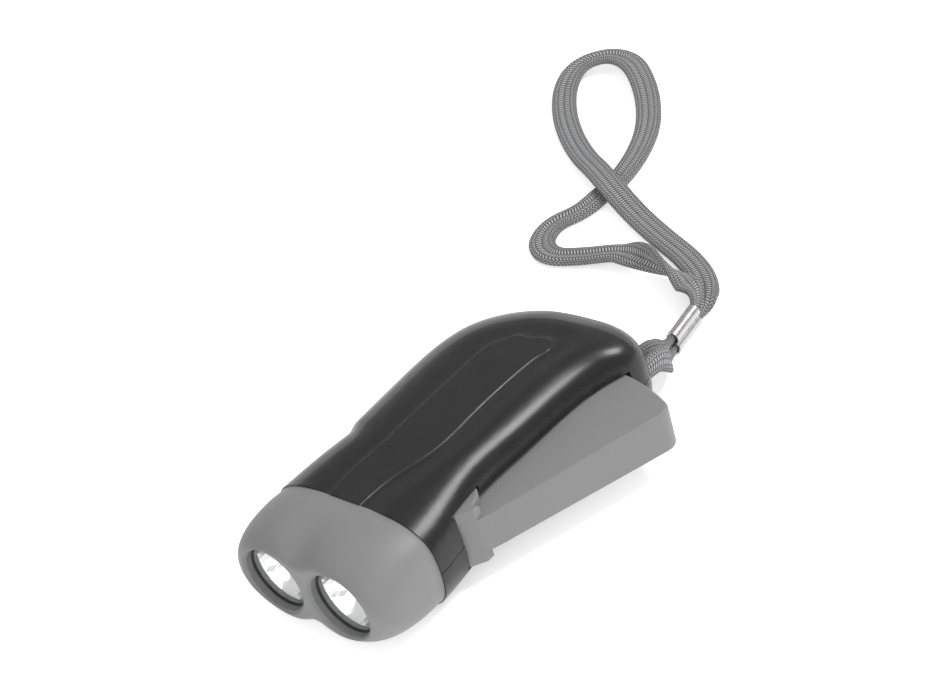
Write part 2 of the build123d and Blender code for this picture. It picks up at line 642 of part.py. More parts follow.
def lamp_board():
    """Circuit board behind the reflectors."""
    low = (-BOARD_WIDTH / 2, BOARD_Y, -BOARD_HEIGHT / 2)
    high = (BOARD_WIDTH / 2, BOARD_BACK_Y, BOARD_HEIGHT / 2)
    shape = block(low, high)
    shape = fillet(shape.edges().filter_by(Axis.Y), 1.0)
    for z in (-BOARD_POST_Z, BOARD_POST_Z):
        shape -= barrel(0, z, BOARD_SCREW_RADIUS + FIT, BOARD_Y - OVERCUT, BOARD_BACK_Y + OVERCUT)
    return shape


def board_screws():
    """Two small screws that hold the board to the head."""
    head_radius, head = BOARD_SCREW_HEAD
    screws = []
    for z in (-BOARD_POST_Z, BOARD_POST_Z):
        shank = barrel(0, z, BOARD_SCREW_RADIUS, BOARD_Y - BOARD_SCREW_LENGTH, BOARD_BACK_Y)
        screws.append(shank + barrel(0, z, head_radius, BOARD_BACK_Y, BOARD_BACK_Y + head))
    return Compound(screws)


def rectifier_diodes():
    """Four small diodes in a row on the back of the board."""
    width, depth, height = DIODE_SIZE
    middle, low_z = DIODE_ROW
    diodes = []
    for k in range(4):
        x = middle + (k - 1.5) * DIODE_PITCH
        low = (x - width / 2, BOARD_BACK_Y, low_z)
        high = (x + width / 2, BOARD_BACK_Y + depth, low_z + height)
        diodes.append(block(low, high))
    return Compound(diodes)


def capacitor():
    """Smoothing capacitor lying on the back of the board."""
    y = BOARD_BACK_Y + CAPACITOR_RADIUS
    plane = Plane(origin=(CAPACITOR_X, y, CAPACITOR_Z), x_dir=(0, 1, 0), z_dir=(1, 0, 0))
    can = extrude(plane * Circle(CAPACITOR_RADIUS), amount=CAPACITOR_LENGTH)
    return chamfer(can.edges(), 0.3)


# ---------------------------------------------------------------- gears

def half_angle(radius, teeth, module):
    """Half the angle that a tooth spans at a radius, with an involute flank."""
    pitch = pitch_radius(teeth, module)
    base = pitch * math.cos(math.radians(PRESSURE_ANGLE))
    alpha = math.radians(PRESSURE_ANGLE)
    middle = math.pi / (2 * teeth) - BACKLASH / (4 * pitch)
    local = math.acos(min(base / radius, 1.0))
    return middle + (math.tan(alpha) - alpha) - (math.tan(local) - local)


def tooth(centre, teeth, module, direction):
    """Plan points of one tooth, root to root."""
    pitch = pitch_radius(teeth, module)
    base = pitch * math.cos(math.radians(PRESSURE_ANGLE))
    root = pitch - DEDENDUM * module
    tip = pitch + ADDENDUM * module
    start = max(base, root)
    flank = [start + (tip - start) * k / 4 for k in range(5)]
    outline = [(root, half_angle(start, teeth, module))] if root < start else []
    outline += [(radius, half_angle(radius, teeth, module)) for radius in flank]
    rising = [polar(centre, radius, direction - math.degrees(angle)) for radius, angle in outline]
    falling = [polar(centre, radius, direction + math.degrees(angle)) for radius, angle in reversed(outline)]
    return rising + falling


def gear(centre, teeth, module, direction, low, high):
    """Spur gear with one tooth pointing in a direction."""
    points = []
    for k in range(teeth):
        points += tooth(centre, teeth, module, direction + 360 * k / teeth)
    return plate(points, low, high)


def gap_towards(direction, teeth):
    """Direction of a tooth when a tooth gap points the given way."""
    return direction + 180 / teeth


def drive_pinion():
    """Pinion on the sector, with the long sleeve that carries the drive wheel and the ratchet."""
    half = drive_pinion_half()
    top = RATCHET_Z[1] + BOSS_CLEARANCE
    facing = gap_towards(DRIVE_DIRECTION + 180, PINION_TEETH)
    shape = gear(DRIVE_AXLE, PINION_TEETH, SECTOR_MODULE, facing, -half, half)
    shape += post(DRIVE_AXLE, SLEEVE_RADIUS + SHOULDER, half, DRIVE_WHEEL_Z[0])
    shape += post(DRIVE_AXLE, SLEEVE_RADIUS, DRIVE_WHEEL_Z[0], top)
    return shape - bore(DRIVE_AXLE, AXLE_RADIUS + RUN, -half, top)


def drive_wheel():
    """Large wheel on the pinion's sleeve, with a pin for the pawl."""
    shape = gear(DRIVE_AXLE, WHEEL_TEETH, DRIVE_MODULE, TRANSFER_DIRECTION, *DRIVE_WHEEL_Z)
    shape -= bore(DRIVE_AXLE, SLEEVE_RADIUS + RUN, *DRIVE_WHEEL_Z)
    count, distance, radius = WHEEL_HOLES
    for k in range(count):
        shape -= bore(polar(DRIVE_AXLE, distance, 360 * k / count), radius, *DRIVE_WHEEL_Z)
    return shape + post(pawl_pin_spot(), PAWL_PIN_RADIUS, DRIVE_WHEEL_Z[1], RATCHET_Z[1])


def pawl_pin_spot():
    return polar(DRIVE_AXLE, *PAWL_PIN_SPOT)


def ratchet_wheel():
    """Saw-toothed wheel fixed on top of the pinion's sleeve."""
    points = []
    for k in range(RATCHET_TEETH):
        direction = 360 * k / RATCHET_TEETH
        points.append(polar(DRIVE_AXLE, RATCHET_RADIUS, direction))
        points.append(polar(DRIVE_AXLE, RATCHET_RADIUS - RATCHET_STEP, direction + RATCHET_RISE))
    return plate(points, *RATCHET_Z) - bore(DRIVE_AXLE, SLEEVE_RADIUS + SEAT, *RATCHET_Z)


def ratchet_pawl():
    """Sprung finger on the drive wheel that catches the ratchet."""
    finger = [
        polar(DRIVE_AXLE, 8.9, 30),
        polar(DRIVE_AXLE, 8.9, 44),
        polar(DRIVE_AXLE, 7.0, 52),
        polar(DRIVE_AXLE, RATCHET_RADIUS + 0.2, 84),
        polar(DRIVE_AXLE, RATCHET_RADIUS + 0.2, 74),
        polar(DRIVE_AXLE, 6.4, 48),
        polar(DRIVE_AXLE, 7.0, 30),
    ]
    low = DRIVE_WHEEL_Z[1] + FIT
    return plate(finger, low, RATCHET_Z[1]) - bore(pawl_pin_spot(), PAWL_PIN_RADIUS + RUN, low, RATCHET_Z[1])


def transfer_gear():
    """Compound gear: large wheel below, pinion above."""
    low, wheel_top = TRANSFER_WHEEL_Z
    pinion_low = DRIVE_WHEEL_Z[0] - BOSS_CLEARANCE
    facing = gap_towards(TRANSFER_DIRECTION + 180, PINION_TEETH)
    shape = gear(TRANSFER_AXLE, WHEEL_TEETH, ROTOR_MODULE, ROTOR_DIRECTION, low, wheel_top)
    shape += post(TRANSFER_AXLE, TRANSFER_NECK_RADIUS, wheel_top, pinion_low)
    shape += gear(TRANSFER_AXLE, PINION_TEETH, DRIVE_MODULE, facing, pinion_low, TRANSFER_PINION_TOP)
    return shape - bore(TRANSFER_AXLE, AXLE_RADIUS + RUN, low, TRANSFER_PINION_TOP)


def gear_axles():
    """Two fixed pins that the gears turn on."""
    ends = pin_ends()
    drive = post(DRIVE_AXLE, AXLE_RADIUS, *ends["drive"])
    return Compound([drive, post(TRANSFER_AXLE, AXLE_RADIUS, *ends["transfer"])])


# ---------------------------------------------------------------- generator

def rotor_shaft():
    return post(ROTOR_AXLE, SHAFT_RADIUS, *pin_ends()["rotor"])


def rotor_pinion():
    facing = gap_towards(ROTOR_DIRECTION + 180, PINION_TEETH)
    shape = gear(ROTOR_AXLE, PINION_TEETH, ROTOR_MODULE, facing, *ROTOR_PINION_Z)
    return shape - bore(ROTOR_AXLE, SHAFT_RADIUS + SEAT, *ROTOR_PINION_Z)


def rotor_magnet():
    return post(ROTOR_AXLE, MAGNET_RADIUS, *MAGNET_Z) - bore(ROTOR_AXLE, SHAFT_RADIUS + SEAT, *MAGNET_Z)


def flywheel():
    """Heavy rimmed disc with a hub that sits on the magnet."""
    low, high = FLYWHEEL_Z
    dish = post(ROTOR_AXLE, FLYWHEEL_RADIUS - FLYWHEEL_RIM, high - FLYWHEEL_DISH, high + OVERCUT)
    shape = post(ROTOR_AXLE, FLYWHEEL_RADIUS, low, high) - dish
    shape += post(ROTOR_AXLE, FLYWHEEL_HUB, MAGNET_Z[1], high)
    count, distance, radius = FLYWHEEL_HOLES
    for k in range(count):
        shape -= bore(polar(ROTOR_AXLE, distance, 360 * (k + 0.5) / count), radius, low, high)
    return shape - bore(ROTOR_AXLE, SHAFT_RADIUS + SEAT, MAGNET_Z[1], high)


def rotor_bushes():
    """Plain bearings of the rotor shaft."""
    bushes = []
    for low, high in bush_spans():
        bush = post(ROTOR_AXLE, BUSH_RADIUS, low, high)
        bushes.append(bush - bore(ROTOR_AXLE, SHAFT_RADIUS + RUN, low, high))
    return Compound(bushes)


def core_sides():
    """Inner and outer x of the two core arms, left and right."""
    inner = MAGNET_RADIUS + AIR_GAP
    x = ROTOR_AXLE[0]
    return (x - inner - CORE_ARM, x - inner, x + inner, x + inner + CORE_ARM)


def core_seats():
    """Where posts in the casing clamp the core's arms, just behind the flywheel's room."""
    left_out, left_in, right_in, right_out = core_sides()
    y = ROTOR_AXLE[1] + MAGNET_RADIUS + AIR_GAP
    return [((left_out + left_in) / 2, y), ((right_in + right_out) / 2, y)]


def stator_core():
    """U-shaped stack of steel sheets with hollow pole faces round the magnet."""
    left_out, left_in, right_in, right_out = core_sides()
    x, y = ROTOR_AXLE
    near = y - POLE_HALF
    far = CORE_BRIDGE_Y + CORE_BRIDGE / 2
    bridge = CORE_BRIDGE_Y - CORE_BRIDGE / 2
    left_pole = left_in + POLE_WIDTH
    right_pole = right_in - POLE_WIDTH
    points = [
        (left_out, near), (left_pole, near), (left_pole, y + POLE_HALF), (left_in, y + POLE_HALF + 1.0),
        (left_in, bridge), (right_in, bridge), (right_in, y + POLE_HALF + 1.0),
        (right_pole, y + POLE_HALF), (right_pole, near), (right_out, near), (right_out, far), (left_out, far),
    ]
    return plate(points, *CORE_Z) - bore(ROTOR_AXLE, MAGNET_RADIUS + AIR_GAP, *CORE_Z)


def bobbin_span():
    """Left and right end of the bobbin on the core's bridge."""
    _, left_in, right_in, _ = core_sides()
    return (left_in + BOBBIN_GAP, right_in - BOBBIN_GAP)


def roller(x_low, x_high, radius):
    """Cylinder along X on the bridge of the core."""
    middle = (CORE_Z[0] + CORE_Z[1]) / 2
    plane = Plane(origin=(x_low, CORE_BRIDGE_Y, middle), x_dir=(0, 1, 0), z_dir=(1, 0, 0))
    return extrude(plane * Circle(radius), amount=x_high - x_low)


def bobbin_tube_radius():
    corner = math.hypot(CORE_BRIDGE / 2 + FIT, (CORE_Z[1] - CORE_Z[0]) / 2 + FIT)
    return corner + BOBBIN_TUBE


def coil_bobbin():
    """Flanged reel on the bridge of the core."""
    low, high = bobbin_span()
    half_y = CORE_BRIDGE / 2 + FIT
    shape = roller(low, high, bobbin_tube_radius())
    shape += roller(low, low + BOBBIN_FLANGE, BOBBIN_RADIUS)
    shape += roller(high - BOBBIN_FLANGE, high, BOBBIN_RADIUS)
    near = (low - OVERCUT, CORE_BRIDGE_Y - half_y, CORE_Z[0] - FIT)
    return shape - block(near, (high + OVERCUT, CORE_BRIDGE_Y + half_y, CORE_Z[1] + FIT))


def coil_winding():
    """Wound wire between the flanges of the bobbin."""
    low, high = bobbin_span()
    low += BOBBIN_FLANGE + SEAT
    high -= BOBBIN_FLANGE + SEAT
    middle = roller(low - OVERCUT, high + OVERCUT, bobbin_tube_radius() + SEAT)
    return roller(low, high, BOBBIN_RADIUS - WINDING_INSET) - middle


def coil_leads():
    """Two insulated wires along the left wall from the coil to the lamp board."""
    start_x = bobbin_span()[0]
    start_y = CORE_BRIDGE_Y + BOBBIN_RADIUS / 2
    leads = []
    for k in range(2):
        z = 1.6 + 1.6 * k
        route = [
            (start_x, start_y, z + 2.4), (start_x - 4, start_y, z + 2.4), (-19.6, 23.0, z),
            (-20.4, 8.0, z), (-19.2, -8.0, z), (-19.6, -26.0, z), (-18.2, -31.0, z), (-15.0, -31.4, z - 1),
            (-15.0, BOARD_BACK_Y, z - 1),
        ]
        leads.append(tube(route, WIRE_RADIUS))
    return Compound(leads)


def tube(route, radius):
    """Round wire along straight runs joined by tangent arcs."""
    path = FilletPolyline(*route, radius=corner_radii(route))
    plane = Plane(origin=path @ 0, z_dir=path % 0)
    return sweep(plane * Circle(radius), path=path)


def corner_radii(route):
    """Radius of the arc at each inner point, as large as its two runs allow."""
    radii = []
    for a, b, c in zip(route, route[1:], route[2:]):
        into = Vector(*b) - Vector(*a)
        out = Vector(*c) - Vector(*b)
        half_turn = math.radians(into.get_angle(out)) / 2
        radii.append(0.45 * min(into.length, out.length) / math.tan(half_turn))
    return radii


# ---------------------------------------------------------------- lever

def lever_line():
    """Outer corner at the tip, where the straight outer edge meets the end arc, from the pivot."""
    knee_x, knee_y = LEVER_KNEE
    lean = math.radians(LEVER_SWING)
    direction = (math.sin(lean), math.cos(lean))
    along = knee_x * direction[0] + knee_y * direction[1]
    square = knee_x**2 + knee_y**2 - LEVER_REACH**2
    reach = -along + math.sqrt(along**2 - square)
    return (knee_x + reach * direction[0], knee_y + reach * direction[1])


def inner_end_angle(reach):
    """Direction of the arm's inner corner, which clears the core when the lever is squeezed."""
    beside_core = core_sides()[3] + MOVING_GAP - PIVOT[0]
    return math.degrees(math.acos(beside_core / reach)) - LEVER_SWING


def lever_plan(inset):
    """Plan of the lever's arm; the inset moves its outer edge and its end inward."""
    tip = lever_line()
    reach = LEVER_REACH - inset
    lean = math.radians(LEVER_SWING)
    knee = (LEVER_KNEE[0] - inset * math.cos(lean), LEVER_KNEE[1] + inset * math.sin(lean))
    root = (HUB_BACK[0] - inset, HUB_BACK[1])
    tip_angle = math.degrees(math.atan2(tip[1], tip[0]) + inset / LEVER_REACH)
    end_angle = inner_end_angle(reach)
    corner = polar((0, 0), reach, tip_angle)
    middle = polar((0, 0), reach, (tip_angle + end_angle) / 2)
    inner_end = polar((0, 0), reach, end_angle)
    edges = Line(root, knee) + Line(knee, corner) + ThreePointArc(corner, middle, inner_end)
    edges += Polyline(inner_end, LEVER_INNER_ROOT, (0, 0), root)
    return Pos(*PIVOT) * make_face(edges)


def lever():
    """Hollow lever with its hub, its toothed sector and the pocket for the return spring."""
    arm = Pos(0, 0, -LEVER_HALF_FAR) * extrude(lever_plan(0), amount=2 * LEVER_HALF_FAR)
    arm = fillet(arm.edges().filter_by(Axis.Z).filter_by(is_tip_edge), LEVER_CORNER)
    arm = arm & lever_height_wedge()
    arm = fillet(arm.edges().filter_by(is_grip_edge), LEVER_EDGE)
    arm -= Pos(0, 0, -LEVER_CAVITY_HALF) * extrude(lever_plan(LEVER_SKIN), amount=2 * LEVER_CAVITY_HALF)
    corners = [(0, HUB_FRONT[1]), HUB_FRONT, HUB_BACK, (HUB_BACK[0], -HUB_BACK[1]), (0, -HUB_BACK[1])]
    flat_side = Pos(*PIVOT) * plate(corners, -HUB_HALF, HUB_HALF)
    hub = post(PIVOT, HUB_RADIUS, -HUB_HALF, HUB_HALF) + flat_side
    hub = fillet(hub.faces().filter_by(Axis.Z).edges(), HUB_EDGE)
    shape = arm + hub + sector() - bore(PIVOT, PIN_RADIUS + RUN, -HUB_HALF, HUB_HALF)
    return shape - spring_pocket()


def is_tip_edge(edge):
    """True for the upright edge where the outer side of the arm meets its end."""
    tip = lever_line()
    return (edge.center() - Vector(PIVOT[0] + tip[0], PIVOT[1] + tip[1])).length < LEVER_HALF_FAR / 2


def is_grip_edge(edge):
    """True for the long upper and lower edges of the lever's outer face and end."""
    middle = edge.center()
    far = math.hypot(middle.X - PIVOT[0], middle.Y - PIVOT[1])
    inner = polar(PIVOT, LEVER_REACH, inner_end_angle(LEVER_REACH))
    level = edge.bounding_box().size.Z < LEVER_HALF_FAR
    return level and far > LEVER_REACH / 3 and middle.X > inner[0] + LEVER_EDGE


def lever_height_wedge():
    """Wedge that makes the arm slightly lower at the hub than at its end."""
    rise = LEVER_HALF_FAR - LEVER_HALF_NEAR
    near_y = PIVOT[1] - LEVER_REACH
    far_y = PIVOT[1] + LEVER_REACH
    near = LEVER_HALF_NEAR - rise
    far = LEVER_HALF_FAR
    profile = Polyline((near_y, -near), (far_y, -far), (far_y, far), (near_y, near), close=True)
    plane = Plane(origin=(-FAR, 0, 0), x_dir=(0, 1, 0), z_dir=(1, 0, 0))
    return extrude(plane * make_face(profile), amount=2 * FAR)


def sector():
    """Toothed arc of the lever, with its teeth in mesh with the drive pinion."""
    step = 360 / SECTOR_TEETH
    behind = math.ceil(LEVER_SWING / step) + SECTOR_SPARE_TEETH
    root = HUB_RADIUS - 2 * HUB_EDGE
    points = [polar(PIVOT, root, DRIVE_DIRECTION - step * (behind + 0.6))]
    for k in range(-behind, SECTOR_SPARE_TEETH):
        points += tooth(PIVOT, SECTOR_TEETH, SECTOR_MODULE, DRIVE_DIRECTION + step * k)
    points.append(polar(PIVOT, root, DRIVE_DIRECTION + step * (SECTOR_SPARE_TEETH - 0.4)))
    return plate(points, -SECTOR_HALF, SECTOR_HALF)


def spring_pocket():
    """Ring-shaped pocket in the underside of the hub, with a slot for the spring's upper leg.

    The slot is as long as the leg's travel in the hub when the lever swings."""
    top = -HUB_HALF + spring_height() + 2 * SPRING_WIRE + 2 * BOSS_CLEARANCE
    roof = top + SPRING_LEG
    half_width = SPRING_WIRE + FIT
    last = SPRING_START + 360 * SPRING_TURNS
    margin = math.degrees(2 * half_width / SPRING_RADIUS)
    start = polar(PIVOT, 3 * SPRING_RADIUS, last + margin)
    finish = polar(PIVOT, 3 * SPRING_RADIUS, last - LEVER_SWING - margin)
    slot = ring_space(half_width, top - OVERCUT, roof) & plate([PIVOT, start, finish], top - OVERCUT, roof)
    return ring_space(SPRING_ROOM, -HUB_HALF - OVERCUT, top) + slot


def ring_space(half_width, low, high):
    """Ring round the pivot that follows the middle line of the spring's coil."""
    ring = post(PIVOT, SPRING_RADIUS + half_width, low, high)
    return ring - bore(PIVOT, SPRING_RADIUS - half_width, low, high)


def spring_height():
    return SPRING_TURNS * SPRING_PITCH


def lever_spring():
    """Torsion spring in the hub's pocket; one leg in the lever, one in the casing."""
    low = -HUB_HALF + SPRING_WIRE + BOSS_CLEARANCE
    helix = Helix(SPRING_PITCH, spring_height(), SPRING_RADIUS)
    path = Pos(*PIVOT, low) * Rot(0, 0, SPRING_START) * helix
    first = path @ 0
    last = path @ 1
    coil = sweep(Plane(origin=first, z_dir=path % 0) * Circle(SPRING_WIRE), path=path, is_frenet=True)
    lower_leg = post((first.X, first.Y), SPRING_WIRE, -HUB_HALF - SPRING_LEG, first.Z)
    upper_leg = post((last.X, last.Y), SPRING_WIRE, last.Z, last.Z + SPRING_LEG)
    ends = Pos(first) * Sphere(SPRING_WIRE) + Pos(last) * Sphere(SPRING_WIRE)
    return coil + lower_leg + upper_leg + ends


def lever_pivot_pin():
    return post(PIVOT, PIN_RADIUS, *pin_ends()["pivot"])


# ---------------------------------------------------------------- fasteners and strap

def case_screws():
    """Screws from below through the lower half into the upper one."""
    screws = []
    for spot in SCREW_SPOTS:
        shank = post(spot, SCREW_RADIUS, SCREW_SEAT_Z, SCREW_SEAT_Z + SCREW_LENGTH)
        head = post(spot, SCREW_HEAD_RADIUS, SCREW_SEAT_Z - SCREW_HEAD, SCREW_SEAT_Z)
        screws.append(shank + head - cross_recess(spot, SCREW_SEAT_Z - SCREW_HEAD))
    return Compound(screws)


def cross_recess(spot, level):
    """Cross-shaped recess in the underside of a screw head."""
    arm, half_width, depth = CROSS_RECESS
    x, y = spot
    along = block((x - arm, y - half_width, level - OVERCUT), (x + arm, y + half_width, level + depth))
    return along + block((x - half_width, y - arm, level - OVERCUT), (x + half_width, y + arm, level + depth))


def strap_bar():
    """Steel pin in the tail that the strap is looped round."""
    return post(BAR_SPOT, BAR_RADIUS, *pin_ends()["bar"])


def band(route, width, thickness, rolls):
    """Flat band along straight runs joined by tangent arcs, gathered to fit the ferrule at both ends.

    The rolls give how far along the band is turned from flat by how many degrees."""
    radii = corner_radii(route)
    path = FilletPolyline(*route, radius=radii)
    steps = math.ceil(path.length / (min(radii) / 4))
    sections = []
    volume = 0
    for k in range(steps + 1):
        share = k / steps
        along = share * path.length
        size = band_size(min(along, path.length - along), width, thickness)
        volume += size[0] * size[1] * path.length / (steps + 1)
        heading = path % share
        flat = Vector(0, 0, 1).cross(heading).normalized()
        across = flat.rotate(Axis((0, 0, 0), heading), roll_at(along, path.length, rolls))
        plane = Plane(origin=path @ share, x_dir=across, z_dir=heading)
        sections.append((plane * Rectangle(*size)).wire())
    shape = Solid.make_loft(sections, ruled=True)
    lowest = shape.bounding_box().min.Z - FLOOR
    print(f"band {path.length:.1f} long, radii", [round(radius, 1) for radius in radii])
    print(f"  volume {shape.volume:.0f} for {volume:.0f}, lowest point {lowest:.2f}")
    return shape


def band_size(from_end, width, thickness):
    """Width and thickness at a distance from the nearer end, where the ferrule holds the band."""
    gather = min(1, max(0, from_end - CRIMP_DEPTH) / GATHER_LENGTH)
    wide = GATHERED_WIDTH + (width - GATHERED_WIDTH) * gather
    return (wide, GATHERED_THICKNESS + (thickness - GATHERED_THICKNESS) * gather)


def roll_at(along, length, rolls):
    """Roll at a distance along the band; a negative distance in the list counts from its end."""
    stations = [(place if place >= 0 else length + place, roll) for place, roll in rolls]
    for (start, first), (finish, second) in zip(stations, stations[1:]):
        if along <= finish:
            return first + (second - first) * max(0, along - start) / (finish - start)
    return stations[-1][1]


def ferrule_line():
    """Unit vector along the ferrule in plan."""
    dx = FERRULE_FAR[0] - FERRULE_NEAR[0]
    dy = FERRULE_FAR[1] - FERRULE_NEAR[1]
    length = math.hypot(dx, dy)
    return (dx / length, dy / length)


def strap_ferrule():
    """Crimped metal sleeve of two lobes, one above the other, that lies on the floor."""
    along = ferrule_line()
    length = math.dist(FERRULE_NEAR, FERRULE_FAR)
    outer = []
    bores = []
    for k in range(2):
        z = FLOOR + lobe_height(k)
        plane = Plane(origin=(*FERRULE_NEAR, z), x_dir=(0, 0, 1), z_dir=(*along, 0))
        outer.append(extrude(plane * Circle(FERRULE_RADIUS), amount=length))
        bores.append(extrude(plane * Circle(FERRULE_RADIUS - FERRULE_WALL), amount=length))
    return outer[0] + outer[1] - bores[0] - bores[1]


def lobe_height(k):
    """Height of a ferrule lobe's axis above the floor."""
    return FERRULE_RADIUS + k * FERRULE_PITCH


def on_ferrule_axis(end, distance, k):
    """Point on a lobe's axis at a distance from one end of the ferrule, towards the far end."""
    along = ferrule_line()
    return (end[0] + distance * along[0], end[1] + distance * along[1], FLOOR + lobe_height(k))


def strap_tether():
    """Short end of the strap: from the ferrule round the bar in the tail and back."""
    x, y = BAR_SPOT
    side = BAR_RADIUS + FIT + TETHER_THICKNESS / 2
    route = [
        on_ferrule_axis(FERRULE_NEAR, CRIMP_DEPTH, 0),
        on_ferrule_axis(FERRULE_NEAR, -FERRULE_EXIT, 0),
        (18.6, 60.4, -9.2),
        (23.2, 56.4, -4.4),
        (x + side, y + 8.0, 0),
        (x + side, y - side, 0),
        (x - side, y - side, 0),
        (x - side, y + 8.0, 0),
        (18.8, 56.4, -3.4),
        (16.4, 60.8, -6.4),
        on_ferrule_axis(FERRULE_NEAR, -FERRULE_EXIT, 1),
        on_ferrule_axis(FERRULE_NEAR, CRIMP_DEPTH, 1),
    ]
    return band(route, TETHER_WIDTH, TETHER_THICKNESS, [(0, 90), (-1, 90)])


def wrist_strap():
    """Loop of flat braid that lies on the floor behind the torch."""
    above_floor = [
        (10.6, 88.2, 2.4), (4.0, 96.0, 1.5), (-6.0, 102.6, 1.15), (-18.0, 107.8, 1.15),
        (-31.0, 113.8, 1.7), (-43.0, 119.8, 3.8), (-54.0, 126.6, 3.7), (-65.0, 133.4, 1.7),
        (-77.0, 143.4, 1.15), (-87.4, 155.4, 1.8), (-94.8, 167.6, 3.0), (-97.4, 178.6, 3.6),
        (-91.4, 185.8, 3.8), (-81.6, 184.6, 3.8), (-71.6, 176.4, 3.2), (-62.8, 165.8, 2.0),
        (-55.6, 153.6, 1.15), (-50.4, 140.0, 1.15), (-47.8, 127.2, 1.15), (-48.2, 118.0, 1.15),
        (-49.6, 109.5, 1.15), (-55.0, 101.0, 1.15), (-52.6, 92.0, 1.2), (-44.2, 88.6, 1.15),
        (-34.2, 93.0, 1.3), (-24.4, 96.0, 3.0), (-14.6, 95.4, 4.6), (-4.6, 93.2, 4.6), (4.8, 89.2, 4.9),
    ]
    route = [on_ferrule_axis(FERRULE_FAR, -CRIMP_DEPTH, 0), on_ferrule_axis(FERRULE_FAR, FERRULE_EXIT, 0)]
    route += [(x, y, FLOOR + height) for x, y, height in above_floor]
    route += [on_ferrule_axis(FERRULE_FAR, FERRULE_EXIT, 1), on_ferrule_axis(FERRULE_FAR, -CRIMP_DEPTH, 1)]
    rolls = [(0, 90), (3, 90), (9, 0), (-46, 0), (-16, 180), (-4, 90)]
    return band(route, STRAP_WIDTH, STRAP_THICKNESS, rolls)


# ---------------------------------------------------------------- all pieces

def main():
    left, right = lamp_centres()
    pieces = {
        "upper_shell": upper_shell(),
        "lower_shell": lower_shell(),
        "head_bezel": head_bezel(),
        "lens_left": lens(left),
        "lens_right": lens(right),
        "lens_ring_left": lens_ring(left),
        "lens_ring_right": lens_ring(right),
        "reflector_left": reflector(left),
        "reflector_right": reflector(right),
        "led_left": led(left),
        "led_right": led(right),
        "lamp_board": lamp_board(),
        "board_screws": board_screws(),
        "rectifier_diodes": rectifier_diodes(),
        "capacitor": capacitor(),
        "lever": lever(),
        "lever_spring": lever_spring(),
        "lever_pivot_pin": lever_pivot_pin(),
        "drive_pinion": drive_pinion(),
        "drive_wheel": drive_wheel(),
        "ratchet_wheel": ratchet_wheel(),
        "ratchet_pawl": ratchet_pawl(),
        "transfer_gear": transfer_gear(),
        "gear_axles": gear_axles(),
        "rotor_shaft": rotor_shaft(),
        "rotor_pinion": rotor_pinion(),
        "rotor_magnet": rotor_magnet(),
        "flywheel": flywheel(),
        "rotor_bushes": rotor_bushes(),
        "stator_core": stator_core(),
        "coil_bobbin": coil_bobbin(),
        "coil_winding": coil_winding(),
        "coil_leads": coil_leads(),
        "case_screws": case_screws(),
        "strap_bar": strap_bar(),
        "strap_tether": strap_tether(),
        "strap_ferrule": strap_ferrule(),
        "wrist_strap": wrist_strap(),
    }
    for name, shape in pieces.items():
        save(name, shape)


main()
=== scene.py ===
import json
import math

import bmesh
import bpy
from mathutils import Matrix, Vector

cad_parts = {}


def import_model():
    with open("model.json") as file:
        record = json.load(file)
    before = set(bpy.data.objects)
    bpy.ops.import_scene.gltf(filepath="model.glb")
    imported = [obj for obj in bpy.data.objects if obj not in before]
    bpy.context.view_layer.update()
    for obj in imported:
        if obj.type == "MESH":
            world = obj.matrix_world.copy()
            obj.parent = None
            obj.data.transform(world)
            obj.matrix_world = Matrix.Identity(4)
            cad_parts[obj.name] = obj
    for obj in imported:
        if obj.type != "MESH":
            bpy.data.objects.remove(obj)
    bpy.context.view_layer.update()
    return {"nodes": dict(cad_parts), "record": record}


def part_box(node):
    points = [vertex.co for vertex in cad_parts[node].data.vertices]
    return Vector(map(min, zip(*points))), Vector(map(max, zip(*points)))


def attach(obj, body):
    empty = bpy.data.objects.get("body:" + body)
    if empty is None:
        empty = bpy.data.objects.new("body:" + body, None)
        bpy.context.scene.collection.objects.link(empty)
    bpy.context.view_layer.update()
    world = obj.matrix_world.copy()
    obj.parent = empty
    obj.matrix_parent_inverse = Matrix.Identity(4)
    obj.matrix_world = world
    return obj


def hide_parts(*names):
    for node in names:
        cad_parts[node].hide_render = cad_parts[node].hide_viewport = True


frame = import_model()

# Squeeze-lever dynamo torch on a white table. Lengths are metres; the lamps point towards -Y
# and the foot of the casing is on z = 0.

MM = 0.001

# Camera, fitted to the photograph
PHOTO_WIDTH = 950
PHOTO_HEIGHT = 700
SENSOR = 36.0
FOCAL_PIXELS = 2408.5
VIEW_AZIMUTH = 49.26
VIEW_ELEVATION = 34.03
VIEW_ROLL = 16.67
CAMERA_DISTANCE = 0.5425
AIM_PIXEL = (307.9, 592.5)  # where the middle of the head's front shows in the photograph

# Strap
STRAP_WIDTH = 7.5 * MM
STRAP_THICKNESS = 1.9 * MM
TETHER_WIDTH = 6.4 * MM
TETHER_THICKNESS = 1.6 * MM
GATHERED_WIDTH = 2.3 * MM
GATHERED_THICKNESS = 1.4 * MM
GATHER_LENGTH = 12 * MM
GROOVE_DEPTH = 0.32 * MM
GROOVE_SPREAD = 0.09  # share of the width
SECTION_POINTS = 28
SIDE_ROUNDING = 0.75  # powers that square off the section's sides and faces
FACE_ROUNDING = 0.55
CRIMP_INSET = 3 * MM  # from the ends of a ferrule lobe's axis to where the braid is free
FLATTEN_LENGTH = 8 * MM  # in which the braid lies down behind the ferrule
TWIST_START = 42 * MM  # before the ferrule, where the returning strand starts to turn over
TWIST_END = 12 * MM
CURVE_STEPS = 14

# Weave
STITCH_COLUMNS = 8
STITCH_LENGTH = 0.95 * MM
STITCH_LEAN = 0.9

# Fine stacks and windings
SHEET_PITCH = 0.5 * MM
WIRE_PITCH = 0.25 * MM

